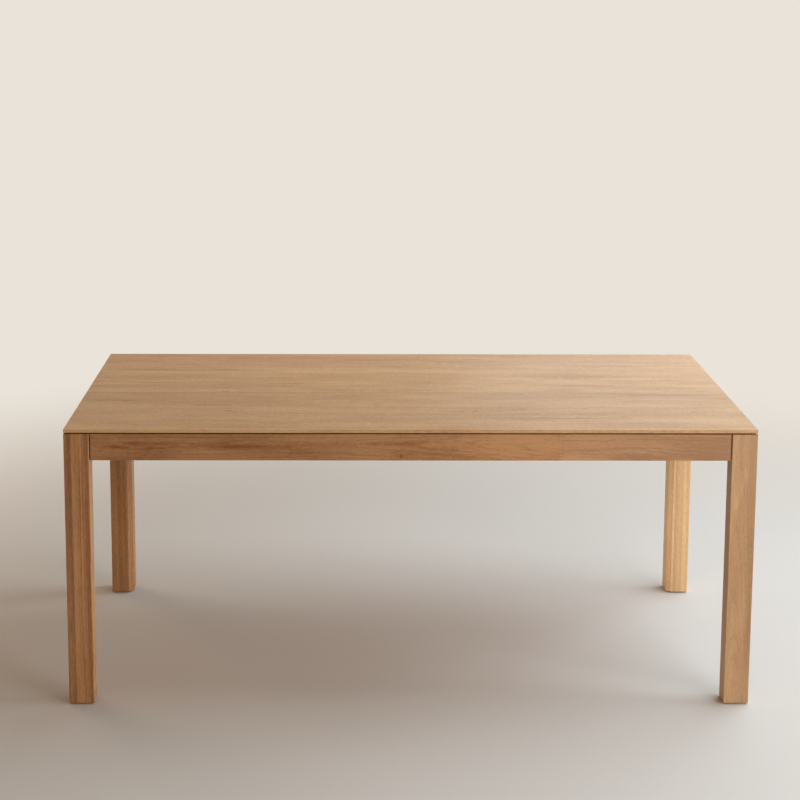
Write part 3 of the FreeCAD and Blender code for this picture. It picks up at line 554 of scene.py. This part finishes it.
def steel(name, colour, roughness, nodes):
    """Steel with duller patches and fine scratches that run up and down."""
    material, graph, shader = new_material(name, Metallic=1.0)
    patch = graph.mottle((90, 90, 90), detail=3.0)
    scratch = graph.mottle((1400, 1400, 120))
    finish = graph.mix(graph.ease(patch, 0.35, 0.65), toned(colour, STEEL_PATCH_TONE), linear(colour))
    graph.feed(shader.inputs["Base Color"], finish)
    graph.feed(shader.inputs["Roughness"], patch * 0.14 + roughness + scratch * 0.08)
    graph.bump(shader, scratch, strength=0.15, unit=0.0002)
    dress(nodes, material)


def nylon(nodes):
    """Off-white nylon with a faint mottle and a fine-grained surface."""
    material, graph, shader = new_material("glide_nylon", Roughness=0.5)
    grain = graph.mottle((1800, 1800, 1800), detail=1.0)
    patch = graph.mottle((160, 160, 160))
    dark, light = NYLON
    graph.feed(shader.inputs["Base Color"], graph.mix(patch, linear(dark), linear(light)))
    graph.bump(shader, grain, strength=0.2, unit=0.0001)
    dress(nodes, material)


def dress_hardware():
    brackets = [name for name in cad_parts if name.endswith("_bracket")]
    steel("bracket_steel", *BRACKET_STEEL, brackets)
    steel("zinc_steel", *ZINC_STEEL, ZINC_NODES)
    nylon(["foot_glides"])


# ---- camera, floor and light ----

def make_camera():
    data = bpy.data.cameras.new("photo_camera")
    data.sensor_width = SENSOR_WIDTH
    data.lens = FOCAL_PIXELS * SENSOR_WIDTH / IMAGE_SIZE
    data.shift_x, data.shift_y = CAMERA_SHIFT
    data.clip_end = CAMERA_REACH
    camera = bpy.data.objects.new("photo_camera", data)
    scene.collection.objects.link(camera)
    sin_yaw, cos_yaw = math.sin(CAMERA_YAW), math.cos(CAMERA_YAW)
    ahead = Vector((sin_yaw * math.cos(CAMERA_PITCH), cos_yaw * math.cos(CAMERA_PITCH),
                    -math.sin(CAMERA_PITCH)))
    level = Vector((cos_yaw, -sin_yaw, 0.0))
    roll = Matrix.Rotation(-CAMERA_ROLL, 3, ahead)
    right = roll @ level
    up = right.cross(ahead)
    rotation = Matrix((right, up, -ahead)).transposed()
    camera.matrix_world = Matrix.Translation(CAMERA_PLACE) @ rotation.to_4x4()
    scene.camera = camera


def seen_ray(graph):
    """One for rays that see the background, straight or in a reflection, and nothing for its light."""
    path = graph.node("ShaderNodeLightPath")
    seen = graph.math("MAXIMUM", path.outputs["Is Camera Ray"], path.outputs["Is Transmission Ray"])
    return graph.math("MAXIMUM", seen, path.outputs["Is Glossy Ray"])


def make_world():
    """Soft warm light from all round, with the background's colour behind the object."""
    world = bpy.data.worlds.new("studio")
    world.use_nodes = True
    scene.world = world
    graph = Graph(world.node_tree)
    light = world.node_tree.nodes["Background"]
    light.inputs["Color"].default_value = linear(WORLD_LIGHT)
    light.inputs["Strength"].default_value = WORLD_STRENGTH
    behind = graph.node("ShaderNodeBackground")
    behind.inputs["Color"].default_value = linear(BACKGROUND)
    graph.show("World Output", seen_ray(graph), light, behind)


def make_floor():
    """A pale round floor that turns into the background some way off."""
    mesh = bpy.data.meshes.new("floor")
    turns = [2 * math.pi * side / FLOOR_SIDES for side in range(FLOOR_SIDES)]
    rim = [(FLOOR_RADIUS * math.cos(turn), FLOOR_RADIUS * math.sin(turn), 0.0) for turn in turns]
    mesh.from_pydata(rim, [], [tuple(range(FLOOR_SIDES))])
    floor = bpy.data.objects.new("floor", mesh)
    scene.collection.objects.link(floor)
    material, graph, shader = new_material("floor", Roughness=0.9, Specular_IOR_Level=0.2)
    darker = linear([part - FLOOR_WEAVE for part in FLOOR])
    lighter = linear([part + FLOOR_WEAVE for part in FLOOR])
    weave = graph.mottle((240, 240, 240))
    graph.feed(shader.inputs["Base Color"], graph.mix(weave, darker, lighter))
    glow = graph.node("ShaderNodeEmission")
    glow.inputs["Color"].default_value = linear(BACKGROUND)
    x, y = graph.place()[:2]
    faded = graph.ease(graph.distance(x, y), *FLOOR_FADE)
    graph.show("Material Output", faded * seen_ray(graph), shader, glow)
    mesh.materials.append(material)


def hang(name, data, place, aim, power, colour):
    """Put a light in its place, facing its aim; the camera doesn't see the lamp itself."""
    data.energy = power
    data.color = linear(colour)[:3]
    lamp = bpy.data.objects.new(name, data)
    lamp.visible_camera = False
    scene.collection.objects.link(lamp)
    lamp.location = place
    lamp.rotation_euler = (Vector(aim) - Vector(place)).to_track_quat("-Z", "Y").to_euler()


def add_lamp(name, place, aim, size, power, colour):
    data = bpy.data.lights.new(name, "AREA")
    data.shape = "RECTANGLE"
    data.size, data.size_y = size
    hang(name, data, place, aim, power, colour)


def add_spot(name, place, aim, angle, power, colour):
    data = bpy.data.lights.new(name, "SPOT")
    data.spot_size = math.radians(angle)
    data.spot_blend = 1.0
    data.shadow_soft_size = SPOT_RADIUS
    hang(name, data, place, aim, power, colour)


dress_top()
dress_legs()
dress_aprons_and_rails()
dress_hardware()
make_camera()
make_world()
make_floor()
for lamp in LAMPS:
    add_lamp(*lamp)
add_spot(*KICKER)
scene.view_settings.view_transform = "Standard"
